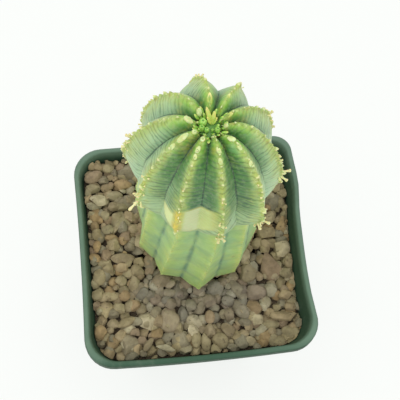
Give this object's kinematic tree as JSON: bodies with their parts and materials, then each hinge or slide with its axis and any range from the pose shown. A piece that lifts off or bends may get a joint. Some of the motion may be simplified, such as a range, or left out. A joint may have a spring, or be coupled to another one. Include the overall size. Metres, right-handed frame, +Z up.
{
  "type": "potted euphorbia obesa hybrid",
  "caption": "Ribbed columnar succulent with one waist and a toothed, striped crown, rooted in gravel in a square plastic nursery pot.",
  "frame": {"origin": "middle of the pot's underside, on the surface that the pot stands on", "axes": "+Z up along the stem, +X to the right and +Y to the back of the pot as it faces the viewer"},
  "size_m": [0.0888, 0.0887, 0.1727],
  "materials": {
    "pot": "satin dark green polypropylene, lighter on the rim",
    "soil": "damp dark brown potting mix with grit",
    "gravel": "matt khaki, tan and grey stone chippings",
    "stem": "waxy sage green skin with darker cross stripes and yellow-green rib edges",
    "young_leaves": "soft yellow-green",
    "flower_buds": "smooth bright green"
  },
  "bodies": {
    "root": {"pot": "pot", "soil": "soil", "gravel": "gravel", "stem": "stem", "young_leaves": "young_leaves", "flower_buds": "flower_buds"}
  },
  "joints": []
}
